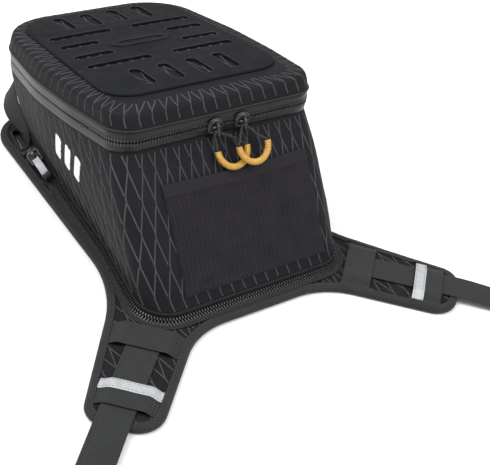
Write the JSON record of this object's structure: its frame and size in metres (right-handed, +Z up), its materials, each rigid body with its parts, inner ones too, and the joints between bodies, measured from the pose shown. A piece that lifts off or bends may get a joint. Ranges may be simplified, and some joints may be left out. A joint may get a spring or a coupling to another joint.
{
  "type": "motorcycle tank bag",
  "caption": "Hard-sided motorcycle tank bag with a zip-round sloping lid, zipped to a flat harness pad with two rear strap arms.",
  "frame": {"origin": "on the underside of the harness pad, on the centre line, near the middle of the whole part's length", "axes": "+Z up out of the tank, +Y towards the handlebars, +X to the rider's right"},
  "size_m": [0.44, 0.4455, 0.144],
  "materials": {
    "laminate": "black laminated pack cloth with a raised diamond thread grid",
    "mesh": "black stretch twill",
    "webbing": "dark woven nylon webbing and binding tape",
    "reflective": "silver retroreflective tape",
    "foam": "closed-cell foam",
    "lining": "grey lining cloth",
    "grip_rubber": "grippy rubberised underside",
    "panel_rubber": "moulded satin rubber",
    "coated_zip": "coated water-resistant zip tape",
    "zip_coil": "large black nylon zip coil",
    "slider_metal": "dark painted zinc",
    "cord": "thin black braided cord",
    "gold_tube": "gold ribbed flexible tube"
  },
  "bodies": {
    "harness": {"pad_underside": "grip_rubber", "pad_foam": "foam", "pad_top": "laminate", "pad_binding": "webbing", "left_inner_keeper": "webbing", "left_outer_keeper": "webbing", "right_inner_keeper": "webbing", "right_outer_keeper": "webbing", "left_reflector": "reflective", "right_reflector": "reflective", "front_flap": "laminate", "base_zip_tape_pad": "webbing", "base_zip_coil_pad": "zip_coil", "zip_end_patches": "webbing", "base_zip_stops": "slider_metal"},
    "left_strap": {"left_strap": "webbing"},
    "right_strap": {"right_strap": "webbing"},
    "base_slider": {"base_slider": "slider_metal"},
    "base_pull": {"base_slider_tab": "slider_metal", "base_pull_loop": "webbing", "base_pull_reflector": "reflective"},
    "bag": {"floor_board": "foam", "floor_fabric": "laminate", "bag_shell": "laminate", "bag_foam": "foam", "bag_lining": "lining", "bottom_welt": "webbing", "base_zip_tape_bag": "webbing", "base_zip_coil_bag": "zip_coil", "pocket_panel": "mesh", "pocket_hem": "webbing", "side_badge": "reflective", "handle_anchors": "webbing", "lid_zip_tape_lower": "coated_zip", "lid_zip_coil_lower": "zip_coil"},
    "handle": {"front_handle": "webbing"},
    "lid": {"lid_zip_tape_upper": "coated_zip", "lid_zip_coil_upper": "zip_coil", "lid_shell": "laminate", "lid_foam": "foam", "lid_lining": "lining", "lid_piping": "webbing", "top_panel": "panel_rubber", "top_emblem": "panel_rubber"},
    "left_slider": {"left_lid_slider": "slider_metal"},
    "left_pull": {"left_pull_cord": "cord", "left_pull_grip": "gold_tube"},
    "right_slider": {"right_lid_slider": "slider_metal"},
    "right_pull": {"right_pull_cord": "cord", "right_pull_grip": "gold_tube"}
  },
  "joints": [
    {"name": "bag_tilt", "type": "hinge", "parent": "harness", "child": "bag", "pos_m": [0, 0.1985, 0.0068], "axis": [-1, 0, 0], "range_deg": [0, 50]},
    {"name": "lid_open", "type": "hinge", "parent": "bag", "child": "lid", "pos_m": [0, 0.2043, 0.08419], "axis": [-1, 0, 0], "range_deg": [0, 95]},
    {"name": "handle_lean", "type": "hinge", "parent": "bag", "child": "handle", "pos_m": [0, 0.174, 0.0126], "axis": [-1, 0, 0], "range_deg": [0, 30]},
    {"name": "left_slider_run", "type": "slide", "parent": "bag", "child": "left_slider", "axis": [-1, 0, 0], "range_m": [0, 0.05]},
    {"name": "right_slider_run", "type": "slide", "parent": "bag", "child": "right_slider", "axis": [1, 0, 0], "range_m": [0, 0.04]},
    {"name": "left_pull_swing", "type": "hinge", "parent": "left_slider", "child": "left_pull", "pos_m": [-0.007, -0.0326, 0.118], "axis": [-1, 0, 0], "range_deg": [0, 110]},
    {"name": "right_pull_swing", "type": "hinge", "parent": "right_slider", "child": "right_pull", "pos_m": [0.017, -0.0326, 0.118], "axis": [-1, 0, 0], "range_deg": [0, 110]},
    {"name": "base_slider_run", "type": "slide", "parent": "harness", "child": "base_slider", "axis": [-0.0576, -0.9983, 0], "range_m": [0, 0.12]},
    {"name": "base_pull_swing", "type": "hinge", "parent": "base_slider", "child": "base_pull", "pos_m": [-0.08191, 0.13852, 0.01358], "axis": [-0.8178, 0.0472, -0.5736], "range_deg": [0, 120]},
    {"name": "left_strap_run", "type": "slide", "parent": "harness", "child": "left_strap", "axis": [-0.7009, -0.7132, 0], "range_m": [0, 0.02]},
    {"name": "right_strap_run", "type": "slide", "parent": "harness", "child": "right_strap", "axis": [0.7009, -0.7132, 0], "range_m": [0, 0.02]}
  ],
  "couplings": [
    {"joint": "right_pull_swing", "follows": "left_pull_swing", "ratio": 1}
  ]
}
